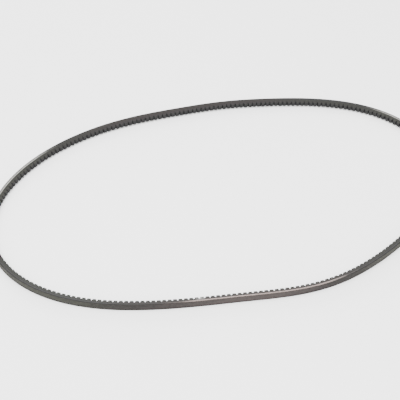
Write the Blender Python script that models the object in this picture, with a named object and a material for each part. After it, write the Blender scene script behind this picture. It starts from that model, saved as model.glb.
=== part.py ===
"""A raw-edge cogged V-belt, lying on one edge as a free oval loop.

Units are metres, +Z up. The origin is the middle of the loop on the surface the belt lies on,
and +X runs along the loop's longest extent. The belt is a bonded laminate: every layer is a
closed ring of its own, counted inwards from the outer face by its depth.
"""
import math

import bmesh
import bpy
from mathutils import Vector

# Loop
OUTER_LENGTH = 1.900        # round the outer face
LONG_OVAL = 0.279           # how far the loop is drawn out, as a share of its mean radius
LOOP_SWELLS = (             # waves round the loop, swell as a share of the mean radius, turn in degrees
    (2, LONG_OVAL, 0.0),
    (3, 0.0100, 48.0),      # one end is fuller than the other
    (4, 0.0475, 5.0),       # long sides bow outwards instead of pinching in
    (5, 0.0060, 10.5),
    (6, 0.0096, 5.5),
)
CHORD_ERROR = 0.00050       # how far a straight stretch may leave the true curve
LONGEST_STRETCH = 8         # cogs in one straight stretch, at most
CURVE_STEPS = 4800          # samples of the true curve

# Cross-section
TOP_WIDTH = 0.0130          # across the outer face
WEDGE_ANGLE = math.radians(38)
OUTER_PLY = 0.0006          # its edge is cut square, and the belt lies on it
INNER_PLY = 0.0005
OVERCORD = 0.0003
GUM = 0.0005                # adhesion gum, above and below the cord
CORD_TURNS = 12
CORD_GAP = 0.00012          # between two turns of the cord
CORD_SIDES = 6
COMPRESSION = 0.0016
COG_WEB = 0.0004            # rubber left over the valleys between cogs
FACING = 0.0004             # fabric that follows the cogs
BOND_GAP = 0.0001           # between two bonded layers

# Cogs, as the facing leaves them
COG_COUNT = 240
COG_HEIGHT = 0.0034
COG_TIP = 0.0048            # length of a tip along the belt
COG_DRAFT = math.radians(12)

MID_HEIGHT = TOP_WIDTH / 2
FLANK_SLOPE = math.tan(WEDGE_ANGLE / 2)


def half_width(depth):
    """Half the belt's width at a depth below the outer face."""
    return TOP_WIDTH / 2 - max(0.0, depth - OUTER_PLY) * FLANK_SLOPE


def stack(*thicknesses):
    """Depths at which each layer starts and ends, with a bond gap between layers."""
    spans = []
    depth = 0.0
    for thickness in thicknesses:
        spans.append((depth, depth + thickness))
        depth += thickness + BOND_GAP
    return spans


OUTER_PLY_SPAN, INNER_PLY_SPAN, OVERCORD_SPAN, UPPER_GUM_SPAN = stack(OUTER_PLY, INNER_PLY, OVERCORD, GUM)
CORD_TOP = UPPER_GUM_SPAN[1] + BOND_GAP

# The first and last turns are centred on the raw flanks, so the cut leaves half of each.
TURNS_EACH_SIDE = (CORD_TURNS - 1) / 2
CORD_DIAMETER = (half_width(CORD_TOP) - TURNS_EACH_SIDE * CORD_GAP) / (TURNS_EACH_SIDE + FLANK_SLOPE / 2)
CORD_SPACING = CORD_DIAMETER + CORD_GAP
CORD_DEPTH = CORD_TOP + CORD_DIAMETER / 2

BELOW_CORD = CORD_TOP + CORD_DIAMETER + BOND_GAP
LOWER_GUM_SPAN, COMPRESSION_SPAN = [
    (BELOW_CORD + start, BELOW_CORD + end) for start, end in stack(GUM, COMPRESSION)
]
WEB_TOP = COMPRESSION_SPAN[1] + BOND_GAP
VALLEY_DEPTH = WEB_TOP + COG_WEB + BOND_GAP + FACING    # visible floor between two cogs


# ---------------------------------------------------------------- loop

def loop_radius(angle):
    """Distance from the pole to the outer face, as a share of the mean radius."""
    return 1 + sum(swell * math.cos(waves * (angle - math.radians(turn))) for waves, swell, turn in LOOP_SWELLS)


def outer_curve():
    """Points of the outer face, evenly spread in polar angle, at the belt's real length."""
    angles = [math.tau * step / CURVE_STEPS for step in range(CURVE_STEPS)]
    curve = [Vector((math.cos(angle), math.sin(angle))) * loop_radius(angle) for angle in angles]
    length = sum((curve[step] - curve[step - 1]).length for step in range(CURVE_STEPS))
    return [point * (OUTER_LENGTH / length) for point in curve]


def inward(direction):
    """Unit normal on the inner side of a loop that runs anticlockwise."""
    return Vector((-direction.y, direction.x)).normalized()


def cog_bounds(curve):
    """Outer-face points over the valleys, one cog pitch apart along the cord."""
    cord = []
    for step, point in enumerate(curve):
        tangent = curve[(step + 1) % CURVE_STEPS] - curve[step - 1]
        cord.append(point + CORD_DEPTH * inward(tangent))
    travelled = [0.0]
    for step in range(CURVE_STEPS):
        travelled.append(travelled[-1] + (cord[(step + 1) % CURVE_STEPS] - cord[step]).length)
    pitch = travelled[-1] / COG_COUNT
    bounds = []
    step = 0
    for cog in range(COG_COUNT):
        while travelled[step + 1] < cog * pitch:
            step += 1
        share = (cog * pitch - travelled[step]) / (travelled[step + 1] - travelled[step])
        bounds.append(curve[step].lerp(curve[(step + 1) % CURVE_STEPS], share))
    return bounds


def chord_error(bounds, first, last):
    """Largest distance between the curve and a straight stretch over the given cogs."""
    start = bounds[first]
    across = inward(bounds[last % COG_COUNT] - start)
    return max((abs((bounds[cog] - start).dot(across)) for cog in range(first + 1, last)), default=0.0)


def straight_stretches(bounds):
    """First cog of each straight stretch, as long as the chord error allows."""
    firsts = [0]
    last = 1
    while last < COG_COUNT:
        too_far = chord_error(bounds, firsts[-1], last + 1) > CHORD_ERROR
        if too_far or last + 1 - firsts[-1] > LONGEST_STRETCH:
            firsts.append(last)
        last += 1
    return firsts


class Loop:
    """Straight stretches of whole cogs, mitred where they meet."""

    def __init__(self):
        bounds = cog_bounds(outer_curve())
        firsts = straight_stretches(bounds)
        corners = [bounds[first] for first in firsts]
        low = Vector((min(point.x for point in corners), min(point.y for point in corners)))
        high = Vector((max(point.x for point in corners), max(point.y for point in corners)))
        self.corners = [point - (low + high) / 2 for point in corners]
        self.count = len(corners)
        self.cogs = [last - first for first, last in zip(firsts, firsts[1:] + [COG_COUNT])]
        normals = [inward(self.corner(index + 1) - self.corner(index)) for index in range(self.count)]
        self.mitres = []
        for index in range(self.count):
            both = normals[index - 1] + normals[index]
            self.mitres.append(both / (1 + normals[index - 1].dot(normals[index])))

    def corner(self, index):
        return self.corners[index % self.count]

    def point(self, index, share, depth, height):
        """A point part of the way along a stretch, at a depth and a height."""
        start = self.corner(index) + depth * self.mitres[index % self.count]
        end = self.corner(index + 1) + depth * self.mitres[(index + 1) % self.count]
        flat = start.lerp(end, share)
        return Vector((flat.x, flat.y, height))

    def stretch_length(self, index):
        """Length of a stretch along the cord."""
        return (self.point(index + 1, 0, CORD_DEPTH, 0) - self.point(index, 0, CORD_DEPTH, 0)).length


# ---------------------------------------------------------------- meshes

def clear_scene():
    for old in list(bpy.data.objects):
        bpy.data.objects.remove(old, do_unlink=True)


def material(name, color, roughness):
    made = bpy.data.materials.new(name)
    made.use_nodes = True
    shader = made.node_tree.nodes["Principled BSDF"]
    shader.inputs["Base Color"].default_value = (*color, 1.0)
    shader.inputs["Roughness"].default_value = roughness
    shader.inputs["Metallic"].default_value = 0.0
    made.diffuse_color = (*color, 1.0)
    return made


def add_object(name, shape, look):
    """Turn a closed bmesh into a named object with outward faces and one material."""
    bmesh.ops.recalc_face_normals(shape, faces=shape.faces[:])
    mesh = bpy.data.meshes.new(name)
    shape.to_mesh(mesh)
    shape.free()
    mesh.shade_smooth()
    mesh.set_sharp_from_angle(angle=math.radians(25))
    made = bpy.data.objects.new(name, mesh)
    mesh.materials.append(look)
    bpy.context.scene.collection.objects.link(made)
    return made


def ring_row(shape, loop, index, share, profile):
    """Vertices of one cross-section."""
    return [shape.verts.new(loop.point(index, share, depth, height)) for depth, height in profile]


def bridge(shape, near, far):
    """Faces between two cross-sections with the same number of points."""
    for side in range(len(near)):
        shape.faces.new((near[side - 1], near[side], far[side], far[side - 1]))


def add_ring(name, loop, profile, look):
    """Sweep one closed cross-section round the whole loop."""
    shape = bmesh.new()
    rows = [ring_row(shape, loop, index, 0.0, profile) for index in range(loop.count)]
    for index in range(loop.count):
        bridge(shape, rows[index - 1], rows[index])
    return add_object(name, shape, look)


def layer_profile(start, end):
    """Cross-section of a layer that reaches both flanks."""
    return [
        (start, MID_HEIGHT - half_width(start)),
        (end, MID_HEIGHT - half_width(end)),
        (end, MID_HEIGHT + half_width(end)),
        (start, MID_HEIGHT + half_width(start)),
    ]


def cut_at_flank(profile, side):
    """Keep what lies inside one flank; side is +1 for the upper flank, -1 for the lower."""
    kept = []
    spare = [half_width(depth) - side * (height - MID_HEIGHT) for depth, height in profile]
    for index, (depth, height) in enumerate(profile):
        last_depth, last_height = profile[index - 1]
        if (spare[index - 1] > 0) != (spare[index] > 0):
            share = spare[index - 1] / (spare[index - 1] - spare[index])
            crossing_depth = last_depth + share * (depth - last_depth)
            crossing_height = last_height + share * (height - last_height)
            kept.append((crossing_depth, crossing_height))
        if spare[index] > 0:
            kept.append((depth, height))
    return kept


def cord_profile(turn):
    """Cross-section of one turn of the cord, cut by whichever flank it meets."""
    middle = MID_HEIGHT + (turn - TURNS_EACH_SIDE) * CORD_SPACING
    profile = []
    for side in range(CORD_SIDES):
        angle = math.tau * side / CORD_SIDES
        depth = CORD_DEPTH + CORD_DIAMETER / 2 * math.cos(angle)
        profile.append((depth, middle + CORD_DIAMETER / 2 * math.sin(angle)))
    return cut_at_flank(cut_at_flank(profile, 1), -1)


def cog_wave(loop, index, inset):
    """Shares and depths along one stretch of the cogged surface, set back into the belt by inset."""
    corner_shift = inset * (1 - math.sin(COG_DRAFT)) / math.cos(COG_DRAFT)
    half_tip = COG_TIP / 2 - corner_shift
    half_root = half_tip + COG_HEIGHT * math.tan(COG_DRAFT)
    valley = VALLEY_DEPTH - inset
    tip = valley + COG_HEIGHT
    length = loop.stretch_length(index)
    wave = [(0.0, valley)]
    for cog in range(loop.cogs[index]):
        middle = (cog + 0.5) / loop.cogs[index]
        wave.append((middle - half_root / length, valley))
        wave.append((middle - half_tip / length, tip))
        wave.append((middle + half_tip / length, tip))
        wave.append((middle + half_root / length, valley))
    return wave


def edge_points(depth):
    """Depths and heights of the two flank points at one depth."""
    return [(depth, MID_HEIGHT - half_width(depth)), (depth, MID_HEIGHT + half_width(depth))]


def add_cog_pad(name, loop, look):
    """A band with a smooth outer side and cogs on its inner side."""
    shape = bmesh.new()
    inset = FACING + BOND_GAP
    outer = [ring_row(shape, loop, index, 0.0, edge_points(WEB_TOP)) for index in range(loop.count)]
    waves = []
    for index in range(loop.count):
        wave = cog_wave(loop, index, inset)
        waves.append([ring_row(shape, loop, index, share, edge_points(depth)) for share, depth in wave])
    for index in range(loop.count):
        ahead = (index + 1) % loop.count
        run = waves[index] + [waves[ahead][0]]
        for near, far in zip(run, run[1:]):
            shape.faces.new((near[0], far[0], far[1], near[1]))
        shape.faces.new((outer[index][0], outer[index][1], outer[ahead][1], outer[ahead][0]))
        for flank in (0, 1):
            shape.faces.new([outer[index][flank]] + [row[flank] for row in run] + [outer[ahead][flank]])
    return add_object(name, shape, look)


def add_cog_facing(name, loop, look):
    """A fabric that follows the cogs at an even thickness."""
    shape = bmesh.new()
    rows = []
    for index in range(loop.count):
        bonded_side = cog_wave(loop, index, FACING)
        open_side = cog_wave(loop, index, 0.0)
        for (under_share, under_depth), (share, depth) in zip(bonded_side, open_side):
            under = ring_row(shape, loop, index, under_share, edge_points(under_depth))
            over = ring_row(shape, loop, index, share, edge_points(depth))
            rows.append([under[0], under[1], over[1], over[0]])
    for index in range(len(rows)):
        bridge(shape, rows[index - 1], rows[index])
    return add_object(name, shape, look)


def main():
    clear_scene()
    loop = Loop()
    back_cloth = material("back_cloth", (0.105, 0.100, 0.095), 0.85)
    ply_cloth = material("ply_cloth", (0.085, 0.082, 0.080), 0.88)
    overcord_look = material("overcord_rubber", (0.060, 0.060, 0.060), 0.70)
    gum_look = material("adhesion_gum", (0.300, 0.290, 0.270), 0.75)
    cord_look = material("polyester_cord", (0.780, 0.760, 0.720), 0.65)
    compression_look = material("compression_rubber", (0.045, 0.045, 0.046), 0.72)
    cog_look = material("cog_rubber", (0.040, 0.040, 0.041), 0.72)
    facing_look = material("facing_cloth", (0.060, 0.060, 0.062), 0.85)

    add_ring("outer_back_ply", loop, layer_profile(*OUTER_PLY_SPAN), back_cloth)
    add_ring("inner_back_ply", loop, layer_profile(*INNER_PLY_SPAN), ply_cloth)
    add_ring("overcord_rubber", loop, layer_profile(*OVERCORD_SPAN), overcord_look)
    add_ring("upper_adhesion_gum", loop, layer_profile(*UPPER_GUM_SPAN), gum_look)
    for turn in range(CORD_TURNS):
        add_ring(f"tensile_cord_turn_{turn + 1}", loop, cord_profile(turn), cord_look)
    add_ring("lower_adhesion_gum", loop, layer_profile(*LOWER_GUM_SPAN), gum_look)
    add_ring("compression_rubber", loop, layer_profile(*COMPRESSION_SPAN), compression_look)
    add_cog_pad("cog_pad_rubber", loop, cog_look)
    add_cog_facing("cog_facing_cloth", loop, facing_look)


main()
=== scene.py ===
"""Looks of a raw-edge cogged V-belt that lies on one edge as a free oval loop.

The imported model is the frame: it gives the loop, the depth of every layer and the belt's width.
Every layer that shows is swept again round the smooth loop, at the same place and size, with
rounded cogs, a twisted cord cut open by the raw flanks, and loose fibre ends.

A point of the belt is named by three belt coordinates, in metres: along the loop, depth below the
outer face, and height above the surface it lies on. Materials read them from the "belt" attribute,
so a pattern follows the belt round the loop.
"""
import math

import bpy
import numpy as np
from bpy.props import FloatProperty, FloatVectorProperty, IntProperty, PointerProperty
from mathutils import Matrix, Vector


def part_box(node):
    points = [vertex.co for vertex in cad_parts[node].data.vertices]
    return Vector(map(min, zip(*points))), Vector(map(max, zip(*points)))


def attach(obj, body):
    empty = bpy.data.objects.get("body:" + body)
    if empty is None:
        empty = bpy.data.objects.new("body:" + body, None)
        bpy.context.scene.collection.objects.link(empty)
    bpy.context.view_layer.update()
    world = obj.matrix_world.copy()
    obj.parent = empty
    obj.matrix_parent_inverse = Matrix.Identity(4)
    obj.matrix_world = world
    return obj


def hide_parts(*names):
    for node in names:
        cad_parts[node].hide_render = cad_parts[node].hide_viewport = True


bl_info = {
    "name": "Cogged V-Belt",
    "version": (1, 0, 0),
    "blender": (4, 5, 0),
    "location": "3D View > Sidebar > V-Belt",
    "description": "Builds the visible layers of a raw-edge cogged V-belt and a plain studio",
    "category": "Object",
}

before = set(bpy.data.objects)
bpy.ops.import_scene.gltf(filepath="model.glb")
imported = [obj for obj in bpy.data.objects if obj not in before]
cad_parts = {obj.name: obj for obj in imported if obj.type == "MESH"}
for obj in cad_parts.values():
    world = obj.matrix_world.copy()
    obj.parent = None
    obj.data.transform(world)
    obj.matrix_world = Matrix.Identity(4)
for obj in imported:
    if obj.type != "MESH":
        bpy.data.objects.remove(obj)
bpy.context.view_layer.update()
BODY = "root"
MM = 0.001

OUTER_PLY = "outer_back_ply"
TOP_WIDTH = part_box(OUTER_PLY)[1].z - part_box(OUTER_PLY)[0].z
MID_HEIGHT = TOP_WIDTH / 2
CORD_PREFIX = "tensile_cord_turn_"
CORDS = sorted(
    (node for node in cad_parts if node.startswith(CORD_PREFIX)),
    key=lambda node: int(node.removeprefix(CORD_PREFIX)),
)

SAME_CORNER = 2 * MM        # vertices closer than this belong to one corner of the outer ply
SHARP_EDGE = 35             # degrees between two faces from which their edge is shaded sharp
CORD_STRANDS = 3
CORD_GROOVE = 0.2           # depth of the grooves between the strands, as a share of the cord's radius
CORD_RECESS = 0.01 * MM     # how far the cut side of a cord stays inside the flank
FIBRES_PER_POINT = 8
FIBRE_SEED = 7
FIBRE_SPREAD = 1.0 * MM     # how far a fibre strays along the belt from its path point
FIBRE_MARGIN = 0.3 * MM     # no fibre grows this close to the cogs' open side
FIBRE_LIFT = 1.2            # how steeply a fibre stands off its flank
SHORTEST_FIBRE = 0.35       # as a share of the longest

# Steps of the path within one cog pitch, and how far they crowd towards the valleys
FINE = {"steps": 20, "crowding": 0.70}      # for the cogs and for the twist of the cord
EVEN = {"steps": 4, "crowding": 0.0}        # for plain layers and fibres

# Places on the loop, seen from above, that differ by wear, dirt and tone, with painted fill light in the cog
# valleys: x, y and reach
CLEAN_MIDDLE = (0.010, -0.211, 0.200)
CLEAN_LEFT_END = (-0.335, 0.095, 0.150)
CLEAN_RIGHT_END = (0.350, 0.095, 0.110)
# Where the cog valleys get the most dust and painted fill light
VALLEY_DUST_AND_FILL = (-0.335, 0.095, 0.200)
RUBBED_BACK = (-0.005, -0.210, 0.110)
DARK_BACK_LEFT = (-0.190, -0.185, 0.090)
DARK_BACK_RIGHT = (0.135, -0.208, 0.060)
FLANK_PALE_PATCH = (-0.080, -0.197, 0.011)

MIDDLE_X = -0.02            # the tint of the middle stretches is centred here
END_TINT_FROM = 0.15        # distance from there at which the ends' tint comes in
END_TINT_FULL = 0.30        # and at which it has taken over
FILAMENT_SLANT = 5200.0     # how far the cord's filaments turn with depth, in radians per metre
FILAMENT_DETAIL = 9000.0    # how fine they are
BLACK = (0.0, 0.0, 0.0)
FLOOR_GRAIN = (0.75, 0.75, 0.75)

FLOOR_REACH = 30.0
SOFTBOXES = {
    # name: place, side of the square
    "overhead_softbox": ((-0.3, -0.5, 2.2), 2.4),
    "front_softbox": ((0.4, -2.4, 0.9), 1.6),
    "back_softbox": ((-0.4, 2.8, 1.0), 1.8),
}


# ---------------------------------------------------------------- sizes and colours

def size(name, description, default):
    """A length in metres that a user may change."""
    return FloatProperty(
        name=name, description=description, default=default, min=0.0, precision=5, subtype="DISTANCE",
        unit="LENGTH",
    )


def angle(name, description, degrees):
    """An angle, given in degrees, that a user may change."""
    return FloatProperty(
        name=name, description=description, default=math.radians(degrees), subtype="ANGLE", unit="ROTATION"
    )


def power(name, description, default):
    """A light's power in watts that a user may change."""
    return FloatProperty(
        name=name, description=description, default=default, min=0.0, subtype="POWER", unit="POWER"
    )


def colour(name, description, default):
    """A linear colour that a user may change."""
    return FloatVectorProperty(
        name=name, description=description, default=default, min=0.0, max=1.0, size=3, subtype="COLOR"
    )


class BeltSizes(bpy.types.PropertyGroup):
    """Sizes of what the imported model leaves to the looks."""

    cog_count: IntProperty(name="Cogs", description="Cogs round the loop", default=240, min=12)
    cog_height: size("Cog height", "From the floor of a valley to a tip", 3.4 * MM)
    cog_tip: size("Cog tip", "Length of a tip along the belt", 4.8 * MM)
    cog_draft: angle("Cog draft", "Lean of a cog's sides", 12)
    root_round: size("Root rounding", "How far the rounding reaches out along a valley floor", 0.45 * MM)
    tip_round: size("Tip rounding", "How far the rounding reaches in over a tip", 0.16 * MM)
    wedge: angle("Wedge angle", "Between the two raw flanks", 38)
    facing: size("Facing", "Thickness of the cloth over the cogs", 0.4 * MM)
    bond_line: size("Bond line", "Space left between two bonded layers", 0.02 * MM)
    ply_edge_round: size("Ply edge rounding", "Radius worn on the outer ply's edges", 0.16 * MM)
    cut_edge_round: size("Cut edge rounding", "Radius on the cut edge of each inner layer", 0.03 * MM)
    cord_lay: size("Cord lay", "Length of one full twist of the cord", 7.0 * MM)
    thread: size("Thread pitch", "Spacing of the threads in the back cloth", 0.55 * MM)
    fibre_length: size("Fibre length", "Longest loose fibre on a flank", 0.7 * MM)
    fibre_radius: size("Fibre radius", "Radius of a loose fibre at its root", 0.022 * MM)


class BeltColours(bpy.types.PropertyGroup):
    """Linear colours of the belt's finishes."""

    back: colour("Back cloth", "Rubberised cloth on the outer face", (0.0120, 0.0117, 0.0113))
    back_dust: colour("Dust", "Dust and wear on the outer face", (0.0340, 0.0329, 0.0318))
    warm_tint: colour("Warm tint", "Tint of the brownish middle stretches", (1.000, 0.800, 0.770))
    olive_tint: colour("Olive tint", "Tint of the greenish ends", (0.860, 0.880, 0.680))
    plain_tint: colour("Plain tint", "Tint of the pale layers at the ends", (0.900, 0.900, 0.880))
    scuff: colour("Scuff", "Chalky scuffs and lint", (0.260, 0.250, 0.240))
    ply: colour("Ply edge", "Cut edges of the cloth plies", (0.0060, 0.0058, 0.0056))
    rubber: colour("Flank rubber", "Fibre-loaded rubber on the raw flanks", (0.0100, 0.0100, 0.0100))
    rubber_worn: colour("Ground rubber", "Rubber where grinding left it grey", (0.0300, 0.0295, 0.0280))
    gum: colour("Adhesion gum", "Light gum round the cord", (0.105, 0.102, 0.096))
    cord: colour("Cord", "Off-white polyester yarn", (0.330, 0.324, 0.308))
    facing: colour("Facing cloth", "Thin cloth pressed over the cogs", (0.0080, 0.0080, 0.0084))
    # Also painted into the valleys between the cogs, as dust and as painted fill light against their shade.
    facing_worn_and_fill: colour("Worn facing", "Facing where the tips are rubbed", (0.0200, 0.0196, 0.0189))
    fibre: colour("Fibre", "Loose fibre ends", (0.140, 0.130, 0.120))


class StudioSettings(bpy.types.PropertyGroup):
    """Floor, lights and camera."""

    floor: colour("Floor", "Plain pale floor", (0.92, 0.92, 0.92))
    room_light: FloatProperty(
        name="Room light", description="Strength of the even light", default=1.6, min=0.0
    )
    key_light: power("Key light", "Power of the overhead softbox", 170.0)
    front_light: power("Front light", "Power of the low front softbox", 12.0)
    back_light: power("Back light", "Power of the low softbox behind", 110.0)
    azimuth: angle("Azimuth", "Camera's place round the belt", -12.89)
    elevation: angle("Elevation", "Camera's height above the horizon", 47.76)
    distance: size("Distance", "From the camera to the point it looks at", 1.317)
    aim: FloatVectorProperty(
        name="Aim", description="Point on the floor that the camera looks at", default=(-0.03563, 0.00086),
        size=2, precision=5, subtype="TRANSLATION", unit="LENGTH",
    )
    lens: FloatProperty(
        name="Lens", description="Focal length on a 36 mm sensor", default=73.32, min=1.0,
        subtype="DISTANCE_CAMERA", unit="CAMERA",
    )


# ---------------------------------------------------------------- node trees

class Number:
    """A number socket; arithmetic on it adds Math nodes to its tree."""

    def __init__(self, graph, socket):
        self.graph = graph
        self.socket = socket

    def __add__(self, other):
        return self.graph.math("ADD", self, other)

    def __radd__(self, other):
        return self.graph.math("ADD", other, self)

    def __sub__(self, other):
        return self.graph.math("SUBTRACT", self, other)

    def __rsub__(self, other):
        return self.graph.math("SUBTRACT", other, self)

    def __mul__(self, other):
        return self.graph.math("MULTIPLY", self, other)

    def __rmul__(self, other):
        return self.graph.math("MULTIPLY", other, self)

    def __truediv__(self, other):
        return self.graph.math("DIVIDE", self, other)

    def __rtruediv__(self, other):
        return self.graph.math("DIVIDE", other, self)

    def __gt__(self, other):
        return self.graph.math("GREATER_THAN", self, other)

    def __abs__(self):
        return self.graph.math("ABSOLUTE", self)

    def sin(self):
        return self.graph.math("SINE", self)

    def cos(self):
        return self.graph.math("COSINE", self)

    def tan(self):
        return self.graph.math("TANGENT", self)

    def fraction(self):
        return self.graph.math("FRACT", self)

    def at_least(self, other):
        return self.graph.math("MAXIMUM", self, other)

    def at_most(self, other):
        return self.graph.math("MINIMUM", self, other)


class Graph:
    """A node tree, its nodes added one by one."""

    def __init__(self, tree):
        self.tree = tree

    def add(self, kind, settings=None, sockets=None):
        """Add a node: its settings first, then values or links by socket name or number."""
        node = self.tree.nodes.new(kind)
        for name, value in (settings or {}).items():
            setattr(node, name, value)
        for name, value in (sockets or {}).items():
            self.feed(self.find(node.inputs, name), value)
        return node

    def find(self, sockets, name):
        if isinstance(name, int):
            return sockets[name]
        return next(s for s in sockets if s.name == name and s.enabled)

    def feed(self, socket, value):
        if isinstance(value, Number):
            self.tree.links.new(value.socket, socket)
        elif isinstance(value, bpy.types.NodeSocket):
            self.tree.links.new(value, socket)
        elif isinstance(value, bpy.types.Node):
            self.tree.links.new(next(s for s in value.outputs if s.enabled), socket)
        elif socket.type == "RGBA" and len(value) == 3:
            socket.default_value = (*value, 1.0)
        else:
            socket.default_value = value

    def number(self, node, name=0):
        return Number(self, self.find(node.outputs, name))

    def math(self, operation, *terms):
        return self.number(self.add("ShaderNodeMath", {"operation": operation}, dict(enumerate(terms))))

    def smooth(self, value, low, high):
        """0 at low, 1 at high, eased at both ends."""
        settings = {"interpolation_type": "SMOOTHSTEP"}
        sockets = {0: value, 1: low, 2: high, 3: 0.0, 4: 1.0}
        return self.number(self.add("ShaderNodeMapRange", settings, sockets))

    def split(self, vector):
        node = self.add("ShaderNodeSeparateXYZ", None, {0: vector})
        return [self.number(node, axis) for axis in range(3)]

    def vector(self, x, y, z):
        return self.add("ShaderNodeCombineXYZ", None, {0: x, 1: y, 2: z}).outputs[0]

    def vector_math(self, operation, *terms):
        node = self.add("ShaderNodeVectorMath", {"operation": operation}, dict(enumerate(terms)))
        return node.outputs[0]

    def scaled(self, vector, factor):
        node = self.add("ShaderNodeVectorMath", {"operation": "SCALE"}, {"Vector": vector, "Scale": factor})
        return node.outputs[0]

    def mix(self, factor, first, second):
        """Blend two colours."""
        sockets = {"Factor": factor, "A": first, "B": second}
        return self.find(self.add("ShaderNodeMix", {"data_type": "RGBA"}, sockets).outputs, "Result")

    def noise(self, place, scale, detail=2.0, roughness=0.5):
        sockets = {"Vector": place, "Scale": scale, "Detail": detail, "Roughness": roughness}
        return self.number(self.add("ShaderNodeTexNoise", None, sockets))


class ShapeTree(Graph):
    """A Geometry Nodes tree that shapes one kind of piece along the belt's path."""

    def __init__(self, name, inputs):
        super().__init__(bpy.data.node_groups.new(name, "GeometryNodeTree"))
        face = self.tree.interface
        face.new_socket("Geometry", in_out="INPUT", socket_type="NodeSocketGeometry")
        for label, (kind, _value) in inputs.items():
            face.new_socket(label, in_out="INPUT", socket_type=kind)
        face.new_socket("Geometry", in_out="OUTPUT", socket_type="NodeSocketGeometry")
        self.given = self.add("NodeGroupInput")
        self.values = {label: value for label, (_kind, value) in inputs.items()}

    def input(self, label):
        return Number(self, self.given.outputs[label])

    def named(self, name, kind="FLOAT_VECTOR"):
        return self.add("GeometryNodeInputNamedAttribute", {"data_type": kind}, {"Name": name}).outputs[0]

    def store(self, geometry, name, value, kind="FLOAT_VECTOR"):
        settings = {"data_type": kind, "domain": "POINT"}
        sockets = {"Geometry": geometry, "Name": name, "Value": value}
        return self.add("GeometryNodeStoreNamedAttribute", settings, sockets)

    def path_curve(self):
        """The path as a closed curve whose points keep their place."""
        curve = self.add("GeometryNodeMeshToCurve", None, {"Mesh": self.given.outputs["Geometry"]})
        return self.store(curve, "path_place", self.add("GeometryNodeInputPosition"))

    def sweep(self, section):
        """Sweep a section whose points keep their place as the attribute section_place."""
        kept = self.store(section, "section_place", self.add("GeometryNodeInputPosition"))
        return self.add("GeometryNodeCurveToMesh", None, {"Curve": self.path_curve(), "Profile Curve": kept})

    def half_width(self, depth):
        """Half the belt's width at a depth."""
        slope = (self.input("Wedge") / 2).tan()
        return self.input("Half width") - (depth - self.input("Square edge")).at_least(0.0) * slope

    def rise(self, along, inset):
        """Depth of the cogged surface, or of one that runs inset further inside the belt."""
        draft = self.input("Cog draft")
        shift = inset * (1 - draft.sin()) / draft.cos()
        half_tip = self.input("Cog tip") / 2 - shift
        half_root = half_tip + self.input("Cog height") * draft.tan()
        pitch = self.input("Cog pitch")
        from_middle = abs((along / pitch).fraction() - 0.5) * pitch
        floor_end = half_root + self.input("Root round")
        tip_end = half_tip - self.input("Tip round")
        eased = self.smooth(from_middle, floor_end, tip_end)
        return self.input("Valley depth") - inset + self.input("Cog height") * eased

    def place(self, geometry, depth, height):
        """Put points at a depth and a height, and remember their belt coordinates."""
        along = self.named("along", "FLOAT")
        noted = self.store(geometry, "belt", self.vector(Number(self, along), depth, height))
        depth_m, height_m = self.split(self.named("belt"))[1:]
        inwards = self.scaled(self.named("inward"), depth_m)
        upwards = self.vector(0.0, 0.0, height_m)
        spot = self.vector_math("ADD", self.vector_math("ADD", self.named("path_place"), inwards), upwards)
        return self.add("GeometryNodeSetPosition", None, {"Geometry": noted, "Position": spot})

    def close(self, geometry):
        """Drop the helper attributes, make the instances real and set the material."""
        for name in ("path_place", "section_place", "inward", "along"):
            geometry = self.add("GeometryNodeRemoveAttribute", None, {"Geometry": geometry, "Name": name})
        real = self.add("GeometryNodeRealizeInstances", None, {"Geometry": geometry})
        sockets = {"Geometry": real, "Material": self.given.outputs["Material"]}
        painted = self.add("GeometryNodeSetMaterial", None, sockets)
        self.add("NodeGroupOutput", None, {"Geometry": painted})
        return self


FLOAT = "NodeSocketFloat"
WHOLE = "NodeSocketInt"
COG_INPUTS = ("Cog pitch", "Cog height", "Cog tip", "Cog draft", "Root round", "Tip round", "Valley depth")


def common_inputs(sizes):
    """Inputs that every shape tree has."""
    return {
        "Material": ("NodeSocketMaterial", None),
        "Half width": (FLOAT, TOP_WIDTH / 2),
        "Square edge": (FLOAT, layer_start("inner_back_ply")),
        "Wedge": (FLOAT, sizes.wedge),
    }


def cog_inputs(sizes, pitch):
    values = (
        pitch, sizes.cog_height, sizes.cog_tip, sizes.cog_draft, sizes.root_round, sizes.tip_round,
        layer_start("cog_facing_cloth") + sizes.facing,
    )
    return {label: (FLOAT, value) for label, value in zip(COG_INPUTS, values)}


def piece_inputs(*labels):
    """Number inputs whose values come with each piece."""
    return {label: (FLOAT, None) for label in labels}


def layer_tree(sizes):
    """A plain layer: a trapezium between two flanks with slightly rounded edges."""
    inputs = common_inputs(sizes)
    inputs.update(piece_inputs("Start", "End", "Edge round"))
    tree = ShapeTree("Belt layer", inputs)
    start = tree.input("Start")
    end = tree.input("End")
    sockets = {
        "Height": end - start,
        "Bottom Width": tree.half_width(start) * 2,
        "Top Width": tree.half_width(end) * 2,
        "Offset": 0.0,
    }
    section = tree.add("GeometryNodeCurvePrimitiveQuadrilateral", {"mode": "TRAPEZOID"}, sockets)
    rounding = {"Curve": section, "Count": 3, "Radius": tree.input("Edge round"), "Limit Radius": True}
    section = tree.add("GeometryNodeFilletCurve", {"mode": "POLY"}, rounding)
    skin = tree.sweep(section)
    across, down, _ = tree.split(tree.named("section_place"))
    return tree.close(tree.place(skin, (start + end) / 2 + down, MID_HEIGHT + across))


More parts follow.
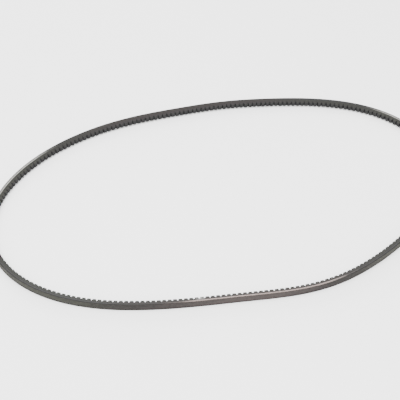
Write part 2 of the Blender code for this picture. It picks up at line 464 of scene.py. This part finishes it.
def cogged_tree(sizes, pitch):
    """A layer whose open side follows the cogs; its bonded side may follow them too."""
    inputs = common_inputs(sizes)
    inputs.update(cog_inputs(sizes, pitch))
    inputs.update(piece_inputs("Start", "Inset", "Cloth"))
    tree = ShapeTree("Belt cogs", inputs)
    box = {"Width": 2.0, "Height": 1.0}
    section = tree.add("GeometryNodeCurvePrimitiveQuadrilateral", {"mode": "RECTANGLE"}, box)
    skin = tree.sweep(section)
    across, down, _ = tree.split(tree.named("section_place"))
    along = Number(tree, tree.named("along", "FLOAT"))
    open_side = down > 0.0
    cloth = tree.input("Cloth")
    inset = tree.input("Inset") + (1 - open_side) * cloth
    wave = tree.rise(along, inset)
    is_cloth = cloth > 0.0
    follows = open_side.at_least(is_cloth)
    depth = wave * follows + tree.input("Start") * (1 - follows)
    return tree.close(tree.place(skin, depth, MID_HEIGHT + across * tree.half_width(depth)))


def cord_tree(sizes):
    """A twisted cord of three strands, cut off just inside the flanks."""
    inputs = common_inputs(sizes)
    inputs.update(piece_inputs("Cord depth", "Cord height", "Radius"))
    inputs.update({
        "Lay": (FLOAT, sizes.cord_lay), "Groove": (FLOAT, CORD_GROOVE), "Recess": (FLOAT, CORD_RECESS),
    })
    tree = ShapeTree("Belt cord", inputs)
    circle = {"Resolution": 12, "Radius": 1.0}
    section = tree.add("GeometryNodeCurvePrimitiveCircle", {"mode": "RADIUS"}, circle)
    skin = tree.sweep(section)
    across, down, _ = tree.split(tree.named("section_place"))
    along = Number(tree, tree.named("along", "FLOAT"))
    turn = tree.math("ARCTAN2", across, down) - along / tree.input("Lay") * math.tau
    radius = tree.input("Radius") * (1 - tree.input("Groove") * (0.5 - (turn * CORD_STRANDS).cos() * 0.5))
    depth = tree.input("Cord depth") + radius * down
    reach = tree.half_width(depth) - tree.input("Recess")
    away = (tree.input("Cord height") - MID_HEIGHT + radius * across).at_most(reach).at_least(0 - reach)
    return tree.close(tree.place(skin, depth, MID_HEIGHT + away))


def fibre_tree(sizes, pitch):
    """Loose fibre ends that stand a little off both flanks below the cord."""
    inputs = common_inputs(sizes)
    inputs.update(cog_inputs(sizes, pitch))
    inputs.update({
        "First depth": (FLOAT, layer_start("compression_rubber")),
        "Last depth": (FLOAT, layer_start("cog_facing_cloth") + sizes.cog_height),
        "Length": (FLOAT, sizes.fibre_length),
        "Radius": (FLOAT, sizes.fibre_radius),
        "Copies": (WHOLE, FIBRES_PER_POINT),
        "Seed": (WHOLE, FIBRE_SEED),
    })
    tree = ShapeTree("Belt fibres", inputs)
    points = tree.add("GeometryNodeMeshToPoints", None, {"Mesh": tree.given.outputs["Geometry"]})
    points = tree.store(points, "path_place", tree.add("GeometryNodeInputPosition"))
    copying = {0: points, 2: tree.input("Copies")}
    copies = tree.add("GeometryNodeDuplicateElements", {"domain": "POINT"}, copying)

    def chance(low, high, offset):
        sockets = {"Min": low, "Max": high, "Seed": tree.input("Seed") + offset}
        return tree.number(tree.add("FunctionNodeRandomValue", {"data_type": "FLOAT"}, sockets), "Value")

    shift = chance(-FIBRE_SPREAD, FIBRE_SPREAD, 0)
    shifted = tree.store(copies, "along", Number(tree, tree.named("along", "FLOAT")) + shift, "FLOAT")
    inward = tree.named("inward")
    run = tree.vector_math("CROSS_PRODUCT", inward, (0.0, 0.0, 1.0))
    moved = tree.vector_math("ADD", tree.named("path_place"), tree.scaled(run, shift))
    shifted = tree.store(shifted, "path_place", moved)
    depth = chance(tree.input("First depth"), tree.input("Last depth"), 1)
    side = (chance(0.0, 1.0, 2) > 0.5) * 2 - 1
    along = Number(tree, tree.named("along", "FLOAT"))
    spot = tree.place(shifted, depth, MID_HEIGHT + side * tree.half_width(depth))
    place_depth = tree.split(tree.named("belt"))[1]
    in_valley = place_depth > tree.rise(along, 0.0) - FIBRE_MARGIN
    dropping = {"Geometry": spot, "Selection": in_valley}
    kept = tree.add("GeometryNodeDeleteGeometry", {"domain": "POINT"}, dropping)
    turn = chance(0.0, math.tau, 3)
    belt_side = tree.split(tree.named("belt"))[2] - MID_HEIGHT
    outwards = tree.vector(0.0, 0.0, belt_side / TOP_WIDTH * FIBRE_LIFT)
    lying = tree.vector_math("ADD", tree.scaled(run, turn.cos()), tree.scaled(inward, turn.sin()))
    aim = tree.vector_math("ADD", lying, outwards)
    turned = tree.add("FunctionNodeAlignRotationToVector", {"axis": "Z"}, {"Vector": aim})
    shape = {
        "Vertices": 3, "Radius Top": 0.0, "Radius Bottom": tree.input("Radius"),
        "Depth": tree.input("Length"),
    }
    hair = tree.add("GeometryNodeMeshCone", {"fill_type": "NGON"}, shape)
    lengths = chance(SHORTEST_FIBRE, 1.0, 4)
    sockets = {
        "Points": kept, "Instance": hair.outputs["Mesh"], "Rotation": turned,
        "Scale": tree.vector(1.0, 1.0, lengths),
    }
    return tree.close(tree.add("GeometryNodeInstanceOnPoints", None, sockets))


# ---------------------------------------------------------------- loop

def layer_start(node):
    """Depth at which a layer starts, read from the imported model."""
    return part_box(OUTER_PLY)[1].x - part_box(node)[1].x


def loop_corners():
    """Corners of the outer face, anticlockwise, starting over a valley near +X."""
    corners = []
    spots = {(round(v.co.x, 6), round(v.co.y, 6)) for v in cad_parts[OUTER_PLY].data.vertices}
    for spot in sorted((Vector(s) for s in spots), key=lambda s: math.atan2(s.y, s.x) % math.tau):
        if corners and (spot - corners[-1]).length < SAME_CORNER:
            corners[-1] = max(corners[-1], spot, key=lambda s: s.length)
        else:
            corners.append(spot)
    if (corners[0] - corners[-1]).length < SAME_CORNER:
        last = corners.pop()
        corners[0] = max(corners[0], last, key=lambda s: s.length)
    first = min(range(len(corners)), key=lambda i: abs(math.atan2(corners[i].y, corners[i].x)))
    return corners[first:] + corners[:first]


def smooth_loop(corners, waves=11, samples=20000):
    """The smooth closed curve that fits the corners best, as points evenly spread in polar angle."""
    spots = np.array([tuple(c) for c in corners])
    angles = np.arctan2(spots[:, 1], spots[:, 0])

    def terms(at):
        return np.stack([f(n * at) for n in range(waves) for f in (np.cos, np.sin)], axis=1)

    weights = np.linalg.lstsq(terms(angles), np.hypot(spots[:, 0], spots[:, 1]), rcond=None)[0]
    at = angles[0] + np.linspace(0.0, math.tau, samples, endpoint=False)
    radius = terms(at) @ weights
    return np.stack([radius * np.cos(at), radius * np.sin(at)], axis=1)


def inward_normals(points):
    """Unit normals on the inner side of a loop that runs anticlockwise."""
    tangent = np.roll(points, -1, axis=0) - np.roll(points, 1, axis=0)
    normal = np.stack([-tangent[:, 1], tangent[:, 0]], axis=1)
    return normal / np.linalg.norm(normal, axis=1, keepdims=True)


def cord_radius(node):
    """Radius of a packed cord: it has six sides, and its height is the distance across two of them."""
    low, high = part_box(node)
    return (high.z - low.z) / math.sqrt(3)


def cord_depth():
    """Depth of the cord's middle."""
    node = CORDS[len(CORDS) // 2]
    return layer_start(node) + cord_radius(node)


def loop_points():
    """The outer face as a closed curve, its inward normals, and the way travelled along the cord."""
    curve = smooth_loop(loop_corners())
    normals = inward_normals(curve)
    cord = curve + cord_depth() * normals
    gaps = np.linalg.norm(np.roll(cord, -1, axis=0) - cord, axis=1)
    travelled = np.concatenate([[0.0], np.cumsum(gaps)])
    return np.vstack([curve, curve[:1]]), np.vstack([normals, normals[:1]]), travelled


def loop_length():
    """Length of the loop along the cord."""
    return loop_points()[-1][-1]


def path_mesh(name, cog_count, steps, crowding):
    """A closed line on the outer face, with steps for each cog pitch, crowded towards the valleys."""
    curve, normals, travelled = loop_points()
    share = np.arange(steps) / steps
    share = share - crowding * np.sin(math.tau * share) / math.tau
    along = ((np.arange(cog_count)[:, None] + share[None, :]) * travelled[-1] / cog_count).ravel()
    spots = np.stack([np.interp(along, travelled, curve[:, axis]) for axis in (0, 1)], axis=1)
    inward = np.stack([np.interp(along, travelled, normals[:, axis]) for axis in (0, 1)], axis=1)
    inward /= np.linalg.norm(inward, axis=1, keepdims=True)
    count = len(along)
    mesh = bpy.data.meshes.new(name)
    vertices = [(x, y, 0.0) for x, y in spots]
    mesh.from_pydata(vertices, [(i, (i + 1) % count) for i in range(count)], [])
    mesh.attributes.new("along", "FLOAT", "POINT").data.foreach_set("value", along)
    flat = np.hstack([inward, np.zeros((count, 1))]).ravel()
    mesh.attributes.new("inward", "FLOAT_VECTOR", "POINT").data.foreach_set("vector", flat)
    return mesh


def grow(name, tree, values, material, path):
    """Run a shape tree on the path and keep its result as a plain mesh object."""
    mesh = path_mesh(name + "_path", bpy.context.scene.belt_sizes.cog_count, **path)
    grower = bpy.data.objects.new(name + "_grower", mesh)
    bpy.context.scene.collection.objects.link(grower)
    modifier = grower.modifiers.new("shape", "NODES")
    modifier.node_group = tree.tree
    given = {**tree.values, **values, "Material": material}
    for item in tree.tree.interface.items_tree:
        if item.in_out == "INPUT" and item.name in given:
            modifier[item.identifier] = given[item.name]
    bpy.context.view_layer.update()
    evaluated = grower.evaluated_get(bpy.context.evaluated_depsgraph_get())
    result = bpy.data.meshes.new_from_object(evaluated)
    grower.modifiers.clear()
    bpy.data.objects.remove(grower)
    bpy.data.meshes.remove(mesh)
    result.name = name
    if not result.polygons:
        raise RuntimeError(f"{name} came out empty")
    face_outwards(result)
    unwrap(result, loop_length())
    result.shade_smooth()
    result.set_sharp_from_angle(angle=math.radians(SHARP_EDGE))
    piece = bpy.data.objects.new(name, result)
    bpy.context.scene.collection.objects.link(piece)
    return piece


def face_outwards(mesh):
    """Turn the faces round if they point into the solid."""
    mesh.calc_loop_triangles()
    spots = np.zeros(len(mesh.vertices) * 3)
    mesh.vertices.foreach_get("co", spots)
    corners = np.zeros(len(mesh.loop_triangles) * 3, int)
    mesh.loop_triangles.foreach_get("vertices", corners)
    a, b, c = spots.reshape(-1, 3)[corners.reshape(-1, 3)].transpose(1, 0, 2)
    if np.einsum("ij,ij->", a, np.cross(b, c)) < 0:
        mesh.flip_normals()


def unwrap(mesh, length):
    """Let the last faces reach the loop's full length instead of running back to its start."""
    place = mesh.attributes["belt"]
    belt = np.zeros(len(mesh.vertices) * 3)
    place.data.foreach_get("vector", belt)
    corners = np.zeros(len(mesh.loops), int)
    mesh.loops.foreach_get("vertex_index", corners)
    belt = belt.reshape(-1, 3)[corners]
    sides = np.zeros(len(mesh.polygons), int)
    mesh.polygons.foreach_get("loop_total", sides)
    furthest = np.maximum.reduceat(belt[:, 0], np.cumsum(sides) - sides)
    belt[:, 0] += length * (belt[:, 0] < np.repeat(furthest, sides) - length / 2)
    mesh.attributes.remove(place)
    mesh.attributes.new("belt", "FLOAT_VECTOR", "CORNER").data.foreach_set("vector", belt.ravel())


def show(piece, slot, *nodes):
    """Hang a finished piece on the belt's body, in place of the CAD nodes it stands for."""
    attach(piece, BODY)
    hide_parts(*nodes)


# ---------------------------------------------------------------- finishes

class Finish(Graph):
    """A Principled material built on belt coordinates."""

    def __init__(self, name, place="belt", gloss=0.3):
        self.made = bpy.data.materials.new(name)
        self.made.use_nodes = True
        super().__init__(self.made.node_tree)
        self.tree.nodes.clear()
        fixed = {"Metallic": 0.0, "Specular IOR Level": gloss}
        self.shader = self.add("ShaderNodeBsdfPrincipled", None, fixed)
        self.add("ShaderNodeOutputMaterial", None, {"Surface": self.shader})
        self.object_place = self.add("ShaderNodeTexCoord").outputs["Object"]
        self.belt = self.object_place
        if place == "belt":
            self.belt = self.add("ShaderNodeAttribute", {"attribute_name": "belt"}).outputs["Vector"]
        self.along, self.depth, self.height = self.split(self.belt)

    def stretched(self, along, depth, height):
        """Belt coordinates scaled by axis, for streaks."""
        return self.vector(self.along * along, self.depth * depth, self.height * height)

    def specks(self, place, scale, reach):
        """1 inside small scattered spots."""
        settings = {"feature": "F1", "voronoi_dimensions": "3D"}
        sockets = {"Vector": place, "Scale": scale, "Randomness": 1.0}
        away = self.number(self.add("ShaderNodeTexVoronoi", settings, sockets), "Distance")
        return 1 - self.smooth(away, reach * 0.5, reach)

    def grime(self):
        """1 where handling left the flanks dirty, less along the near middle and at the two ends."""
        middle = self.near(*CLEAN_MIDDLE)
        left_end = self.near(*CLEAN_LEFT_END)
        right_end = self.near(*CLEAN_RIGHT_END) * 0.6
        clean = middle.at_least(left_end).at_least(right_end)
        return 1 - self.smooth(clean + (self.noise(self.object_place, 60.0, 3.0) - 0.5) * 0.4, 0.15, 0.60)

    def near(self, x, y, reach):
        """1 at a place of the loop, falling to 0 at its reach."""
        off = self.vector_math("SUBTRACT", self.object_place, (x, y, MID_HEIGHT))
        away = self.number(self.add("ShaderNodeVectorMath", {"operation": "LENGTH"}, {0: off}), "Value")
        return 1 - self.smooth(away, 0.0, reach)

    def tinted(self, shade, middle_tint, end_tint):
        """One tint along the middle stretches and another at the two ends."""
        side = self.split(self.object_place)[0]
        away = abs(side - MIDDLE_X) + self.noise(self.object_place, 9.0, 3.0) * 0.10
        at_end = self.smooth(away, END_TINT_FROM, END_TINT_FULL)
        return self.vector_math("MULTIPLY", shade, self.mix(at_end, middle_tint, end_tint))

    def bumped(self, height, distance):
        sockets = {"Height": height, "Distance": distance, "Strength": 1.0}
        return self.add("ShaderNodeBump", None, sockets).outputs[0]

    def set(self, **sockets):
        for name, value in sockets.items():
            label = name.replace("_", " ").title()
            self.feed(self.find(self.shader.inputs, label), value)
        return self.made


def weave(finish, pitch, first, second):
    """Height of a plain weave whose threads run both ways along two crossing coordinates."""
    warp = (first * (math.pi / pitch)).sin()
    weft = (second * (math.pi / pitch)).sin()
    over = finish.smooth(warp * weft, -0.15, 0.15)
    return abs(warp) * over + abs(weft) * (1 - over)


def back_cloth_finish(colours, sizes):
    """Rubberised cloth, cut on the bias, with dust, scuffs and a painted floor shadow; near black on its cut
    edges.
    """
    finish = Finish("back_cloth")
    bias = math.sqrt(0.5)
    across = finish.height + finish.depth
    cloth = weave(finish, sizes.thread, (finish.along + across) * bias, (finish.along - across) * bias)
    smear = finish.smooth(finish.noise(finish.belt, 260.0, 4.0), 0.42, 0.62)
    thread_top = cloth * (1 - smear * 0.75)
    patches = finish.noise(finish.object_place, 9.0, 3.0)
    mottled = finish.noise(finish.stretched(60.0, 1.0, 160.0), 1.0, 5.0, 0.62)
    rubbed_place = finish.near(*RUBBED_BACK)
    dark_place = finish.near(*DARK_BACK_LEFT).at_least(finish.near(*DARK_BACK_RIGHT))
    # Painted shadow: less dust, and so darker, towards the floor, standing in for the contact shade along
    # the bottom.
    painted_floor_shade = finish.smooth(finish.height, TOP_WIDTH * 0.40, 0.0)
    dust_and_shade = mottled + patches * 0.4 + rubbed_place * 0.35 - dark_place * 0.50 - painted_floor_shade * 0.45
    dust_and_shade = finish.smooth(dust_and_shade, 0.36, 0.98)
    shade = finish.mix(dust_and_shade, colours.back, colours.back_dust)
    shade = finish.mix(finish.smooth(thread_top, 0.2, 1.0) * 0.05, shade, colours.scuff)
    streak = finish.noise(finish.stretched(14.0, 1.0, 900.0), 1.0, 3.0)
    rubbed = finish.smooth(streak, 0.60, 0.74) * finish.smooth(patches, 0.38, 0.60)
    shade = finish.mix(rubbed * 0.14, shade, colours.scuff)
    lint = finish.specks(finish.stretched(1.0, 1.6, 1.6), 700.0, 0.11)
    shade = finish.mix(lint * 0.22, shade, colours.scuff)
    shade = finish.tinted(shade, colours.warm_tint, colours.olive_tint)
    cut = finish.smooth(finish.depth, sizes.ply_edge_round * 0.4, sizes.ply_edge_round)
    shade = finish.mix(cut, shade, colours.ply)
    relief = thread_top + mottled * 0.5
    return finish.set(
        base_color=shade,
        roughness=0.74 + mottled * 0.18,
        normal=finish.bumped(relief, 0.06 * MM),
    )


def ply_finish(colours, sizes):
    """Cut edge of the undyed inner ply: pale thread ends in black rubber."""
    finish = Finish("ply_cloth")
    wander = finish.noise(finish.stretched(400.0, 1.0, 1.0), 1.0, 2.0) * sizes.thread
    ends = abs(((finish.along + wander) * (math.pi / sizes.thread)).sin())
    ragged = finish.noise(finish.belt, 2200.0, 3.0)
    thread = finish.smooth(ends + ragged * 0.6, 0.55, 1.15)
    streak = finish.noise(finish.stretched(60.0, 1500.0, 1500.0), 1.0, 3.0)
    clean = thread * (1 - finish.smooth(streak, 0.48, 0.72) * 0.7) * (1 - finish.grime())
    shade = finish.mix(clean * 0.9, colours.ply, colours.cord)
    shade = finish.tinted(shade, colours.warm_tint, colours.plain_tint)
    return finish.set(
        base_color=shade,
        roughness=0.80 + ragged * 0.12,
        normal=finish.bumped(ends + ragged, 0.05 * MM),
    )


def flank_finish(name, colours, lift=0.0):
    """Fibre-loaded rubber, cut and ground along the belt; lift makes all of it paler."""
    finish = Finish(name)
    ground = finish.noise(finish.stretched(35.0, 1400.0, 1400.0), 1.0, 4.0, 0.6)
    cloudy = finish.noise(finish.stretched(90.0, 200.0, 200.0), 1.0, 4.0)
    shade = finish.mix(finish.smooth(ground, 0.42, 0.70) * 0.55 + lift, colours.rubber, colours.rubber_worn)
    blotch = finish.mix(0.5, colours.rubber, BLACK)
    shade = finish.mix(finish.smooth(cloudy, 0.40, 0.68) * 0.35, shade, blotch)
    ends = finish.specks(finish.belt, 3600.0, 0.26)
    shade = finish.mix(ends * 0.35, shade, colours.fibre)
    shade = finish.mix(finish.grime() * 0.85, shade, colours.rubber)
    shade = finish.tinted(shade, colours.warm_tint, colours.olive_tint)
    # A pale patch on the near flank, in the cord's colour.
    pale_patch = finish.near(*FLANK_PALE_PATCH) * finish.smooth(finish.noise(finish.belt, 700.0, 3.0), 0.36, 0.52)
    shade = finish.mix(pale_patch * 0.8, shade, colours.cord)
    return finish.set(
        base_color=shade,
        roughness=0.62 + ground * 0.25,
        normal=finish.bumped(ground + ends * 0.4, 0.05 * MM),
    )


def gum_finish(name, colours, clean):
    """Light rubber above and below the cord, clean only where the cutter's smear is thin."""
    finish = Finish(name)
    smear = finish.noise(finish.stretched(120.0, 1800.0, 1800.0), 1.0, 4.0, 0.6)
    grain = finish.noise(finish.belt, 5000.0, 2.0)
    covered = finish.smooth(smear, clean - 0.11, clean + 0.11) * 0.9
    shade = finish.mix(covered, colours.gum, colours.rubber_worn)
    shade = finish.mix(grain * 0.1, shade, colours.scuff)
    shade = finish.mix(finish.grime() * 0.96, shade, colours.rubber)
    shade = finish.tinted(shade, colours.warm_tint, colours.plain_tint)
    return finish.set(
        base_color=shade,
        roughness=0.66 + grain * 0.18,
        normal=finish.bumped(smear + grain, 0.03 * MM),
    )


def cord_finish(name, colours, lay, place="belt"):
    """Twisted off-white yarn: fine slanting filaments with a little dirt between them."""
    finish = Finish(name, place)
    slant = finish.along * (math.tau * CORD_STRANDS / lay) + finish.depth * FILAMENT_SLANT
    fine = finish.vector(slant, finish.depth * FILAMENT_DETAIL, finish.height * FILAMENT_DETAIL)
    filament = finish.noise(fine, 0.9, 3.0)
    strands = abs((slant * 0.5).sin())
    dirt = finish.noise(finish.belt, 300.0, 4.0)
    dark = finish.mix(0.45, colours.cord, colours.rubber_worn)
    shade = finish.mix(finish.smooth(strands, 0.0, 0.45), dark, colours.cord)
    shade = finish.mix(finish.smooth(filament, 0.55, 0.75) * 0.35, shade, dark)
    shade = finish.mix(finish.smooth(dirt, 0.52, 0.72) * 0.45, shade, colours.gum)
    shade = finish.mix(finish.grime() * 0.96, shade, colours.rubber)
    shade = finish.tinted(shade, colours.warm_tint, colours.plain_tint)
    return finish.set(
        base_color=shade,
        roughness=0.60 + filament * 0.2,
        normal=finish.bumped(strands + filament, 0.05 * MM),
    )


def facing_finish(colours, sizes):
    """Thin cloth under a film of rubber, greyed along the thread rows, with valleys made paler by dust and
    painted fill light.
    """
    finish = Finish("facing_cloth")
    rows = weave(finish, sizes.thread * 0.7, finish.along + finish.depth, finish.height)
    film = finish.smooth(finish.noise(finish.belt, 500.0, 3.0), 0.38, 0.64)
    valley = layer_start("cog_facing_cloth") + sizes.facing
    tip = finish.smooth(finish.depth, valley + sizes.cog_height * 0.55, valley + sizes.cog_height * 0.98)
    patchiness = finish.noise(finish.belt, 220.0, 4.0)
    shade = finish.mix(rows * (1 - film * 0.7) * 0.35, colours.facing, colours.facing_worn_and_fill)
    # Painted fill light: the valleys between the cogs are made paler, partly dust and partly painted light
    # against their shade, most near the left end.
    dust_and_fill_end = 0.55 + finish.near(*VALLEY_DUST_AND_FILL) * 0.45
    shade = finish.mix((1 - tip) * finish.smooth(patchiness, 0.30, 0.62) * dust_and_fill_end, shade, colours.facing_worn_and_fill)
    lint = finish.specks(finish.stretched(1.0, 1.0, 2.2), 900.0, 0.10)
    shade = finish.mix(lint * 0.18, shade, colours.scuff)
    return finish.set(
        base_color=shade,
        roughness=0.70 + patchiness * 0.2,
        normal=finish.bumped(rows * (1 - film * 0.7) + patchiness * 0.4, 0.05 * MM),
    )


def fibre_finish(colours):
    """Loose fibres, some pale and some dirty."""
    finish = Finish("loose_fibre", "object")
    tone = finish.noise(finish.object_place, 900.0, 2.0)
    shade = finish.mix(finish.smooth(tone, 0.35, 0.65), colours.rubber_worn, colours.fibre)
    return finish.set(base_color=shade, roughness=0.7)


# ---------------------------------------------------------------- operators

class BeltOperator:
    """What every belt operator shares."""

    bl_options = {"REGISTER", "UNDO"}

    @property
    def sizes(self):
        return bpy.context.scene.belt_sizes

    @property
    def colours(self):
        return bpy.context.scene.belt_colours

    @property
    def pitch(self):
        return loop_length() / self.sizes.cog_count

    def layer(self, node, after, tree, material, slot, edge_round):
        """Sweep one layer from its start to the start of the next."""
        end = layer_start(after) - self.sizes.bond_line
        values = {"Start": layer_start(node), "End": end, "Edge round": edge_round}
        show(grow(node + "_skin", tree, values, material, EVEN), slot, node)


class BELT_OT_back_plies(BeltOperator, bpy.types.Operator):
    """Sweep the two plies of back cloth"""

    bl_idname = "belt.back_plies"
    bl_label = "Back Plies"

    def execute(self, _context):
        tree = layer_tree(self.sizes)
        cloth = back_cloth_finish(self.colours, self.sizes)
        edge = ply_finish(self.colours, self.sizes)
        self.layer("outer_back_ply", "inner_back_ply", tree, cloth, "back_cloth", self.sizes.ply_edge_round)
        self.layer("inner_back_ply", "overcord_rubber", tree, edge, "ply_cloth", self.sizes.cut_edge_round)
        return {"FINISHED"}


class BELT_OT_cushion(BeltOperator, bpy.types.Operator):
    """Sweep the overcord rubber and the gum above and below the cord"""

    bl_idname = "belt.cushion"
    bl_label = "Overcord and Gum"

    def execute(self, _context):
        tree = layer_tree(self.sizes)
        cushion = gum_finish("overcord_rubber", self.colours, 0.56)
        upper_gum = gum_finish("upper_adhesion_gum", self.colours, 0.62)
        lower_gum = gum_finish("lower_adhesion_gum", self.colours, 0.36)
        fine_edge = self.sizes.cut_edge_round
        self.layer("overcord_rubber", "upper_adhesion_gum", tree, cushion, "overcord_rubber", fine_edge)
        self.layer("upper_adhesion_gum", CORDS[-2], tree, upper_gum, "adhesion_gum", fine_edge)
        self.layer("lower_adhesion_gum", "compression_rubber", tree, lower_gum, "adhesion_gum", fine_edge)
        return {"FINISHED"}


class BELT_OT_cord(BeltOperator, bpy.types.Operator):
    """Twist the two outer turns of cord and dress the inner ones"""

    bl_idname = "belt.cord"
    bl_label = "Tensile Cord"

    def execute(self, _context):
        yarn = cord_finish("polyester_cord", self.colours, self.sizes.cord_lay)
        hidden_yarn = cord_finish("polyester_cord_inside", self.colours, self.sizes.cord_lay, "object")
        tree = cord_tree(self.sizes)
        low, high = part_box(CORDS[1])
        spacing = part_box(CORDS[2])[0].z - low.z
        middle = (low.z + high.z) / 2
        radius = cord_radius(CORDS[1])
        for node, height in ((CORDS[0], middle - spacing), (CORDS[-1], TOP_WIDTH - middle + spacing)):
            values = {"Cord depth": cord_depth(), "Cord height": height, "Radius": radius}
            show(grow(node + "_twisted", tree, values, yarn, FINE), "polyester_cord", node)
        for node in CORDS[1:-1]:
            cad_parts[node].data.materials.clear()
            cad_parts[node].data.materials.append(hidden_yarn)
        return {"FINISHED"}


class BELT_OT_compression(BeltOperator, bpy.types.Operator):
    """Sweep the flat band of compression rubber"""

    bl_idname = "belt.compression"
    bl_label = "Compression Rubber"

    def execute(self, _context):
        rubber = flank_finish("compression_rubber", self.colours)
        tree = layer_tree(self.sizes)
        fine_edge = self.sizes.cut_edge_round
        self.layer("compression_rubber", "cog_pad_rubber", tree, rubber, "compression_rubber", fine_edge)
        return {"FINISHED"}


class BELT_OT_cogs(BeltOperator, bpy.types.Operator):
    """Sweep the cog pad and its facing cloth with rounded cogs"""

    bl_idname = "belt.cogs"
    bl_label = "Cogs"

    def execute(self, _context):
        tree = cogged_tree(self.sizes, self.pitch)
        rubber = flank_finish("cog_rubber", self.colours, 0.05)
        cloth = facing_finish(self.colours, self.sizes)
        inset = self.sizes.facing + self.sizes.bond_line
        pad = {"Start": layer_start("cog_pad_rubber"), "Inset": inset, "Cloth": 0.0}
        show(grow("cog_pad_rubber_skin", tree, pad, rubber, FINE), "cog_rubber", "cog_pad_rubber")
        facing = {"Start": 0.0, "Inset": 0.0, "Cloth": self.sizes.facing}
        show(grow("cog_facing_cloth_skin", tree, facing, cloth, FINE), "facing_cloth", "cog_facing_cloth")
        return {"FINISHED"}


class BELT_OT_fibres(BeltOperator, bpy.types.Operator):
    """Scatter loose fibre ends over the raw flanks"""

    bl_idname = "belt.fibres"
    bl_label = "Loose Fibres"

    def execute(self, _context):
        tree = fibre_tree(self.sizes, self.pitch)
        piece = grow("loose_fibre_ends", tree, {}, fibre_finish(self.colours), EVEN)
        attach(piece, BODY)
        return {"FINISHED"}


class BELT_OT_studio(BeltOperator, bpy.types.Operator):
    """Lay the floor and set the lights and the camera"""

    bl_idname = "belt.studio"
    bl_label = "Studio"

    def execute(self, _context):
        studio = bpy.context.scene.belt_studio
        self.lay_floor(studio)
        self.fill_room(studio)
        self.softbox("overhead_softbox", studio.key_light)
        self.softbox("front_softbox", studio.front_light)
        self.softbox("back_softbox", studio.back_light)
        self.set_camera(studio)
        return {"FINISHED"}

    def lay_floor(self, studio):
        reach = FLOOR_REACH
        corners = [(-reach, -reach, 0), (reach, -reach, 0), (reach, reach, 0), (-reach, reach, 0)]
        mesh = bpy.data.meshes.new("floor")
        mesh.from_pydata(corners, [], [(0, 1, 2, 3)])
        floor = bpy.data.objects.new("floor", mesh)
        bpy.context.scene.collection.objects.link(floor)
        finish = Finish("floor", "object")
        grain = finish.noise(finish.object_place, 40.0, 3.0)
        shade = finish.mix(grain * 0.04, studio.floor, FLOOR_GRAIN)
        mesh.materials.append(finish.set(base_color=shade, roughness=0.9))

    def fill_room(self, studio):
        world = bpy.data.worlds.new("room")
        world.use_nodes = True
        backdrop = world.node_tree.nodes["Background"]
        backdrop.inputs["Color"].default_value = (1.0, 1.0, 1.0, 1.0)
        backdrop.inputs["Strength"].default_value = studio.room_light
        bpy.context.scene.world = world

    def softbox(self, name, watts):
        """A square light that faces the middle of the floor."""
        place, side = SOFTBOXES[name]
        light = bpy.data.lights.new(name, "AREA")
        light.shape = "SQUARE"
        light.size = side
        light.energy = watts
        lamp = bpy.data.objects.new(name, light)
        lamp.location = place
        lamp.rotation_euler = (-Vector(place)).to_track_quat("-Z", "Y").to_euler()
        bpy.context.scene.collection.objects.link(lamp)

    def set_camera(self, studio):
        lens = bpy.data.cameras.new("camera")
        lens.sensor_width = 36.0
        lens.lens = studio.lens
        camera = bpy.data.objects.new("camera", lens)
        flat = math.cos(studio.elevation)
        back = Vector((
            math.sin(studio.azimuth) * flat, -math.cos(studio.azimuth) * flat, math.sin(studio.elevation)
        ))
        camera.location = Vector((*studio.aim, 0.0)) + back * studio.distance
        camera.rotation_euler = (-back).to_track_quat("-Z", "Y").to_euler()
        bpy.context.scene.collection.objects.link(camera)
        bpy.context.scene.camera = camera


BUILD_ORDER = (
    BELT_OT_back_plies, BELT_OT_cushion, BELT_OT_cord, BELT_OT_compression, BELT_OT_cogs, BELT_OT_fibres,
    BELT_OT_studio,
)


class BELT_PT_sidebar(bpy.types.Panel):
    """Builds the belt piece by piece"""

    bl_label = "Cogged V-Belt"
    bl_idname = "BELT_PT_sidebar"
    bl_space_type = "VIEW_3D"
    bl_region_type = "UI"
    bl_category = "V-Belt"

    def draw(self, context):
        for operator in BUILD_ORDER:
            self.layout.operator(operator.bl_idname)
        for group in (context.scene.belt_sizes, context.scene.belt_colours, context.scene.belt_studio):
            box = self.layout.box()
            for name in group.bl_rna.properties.keys():
                if name not in ("rna_type", "name"):
                    box.prop(group, name)


CLASSES = (BeltSizes, BeltColours, StudioSettings, *BUILD_ORDER, BELT_PT_sidebar)


def register():
    for item in CLASSES:
        bpy.utils.register_class(item)
    bpy.types.Scene.belt_sizes = PointerProperty(type=BeltSizes)
    bpy.types.Scene.belt_colours = PointerProperty(type=BeltColours)
    bpy.types.Scene.belt_studio = PointerProperty(type=StudioSettings)


def unregister():
    del bpy.types.Scene.belt_studio
    del bpy.types.Scene.belt_colours
    del bpy.types.Scene.belt_sizes
    for item in reversed(CLASSES):
        bpy.utils.unregister_class(item)


def main():
    register()
    for operator in BUILD_ORDER:
        group, name = operator.bl_idname.split(".")
        getattr(getattr(bpy.ops, group), name)()


if __name__ == "__main__":
    main()
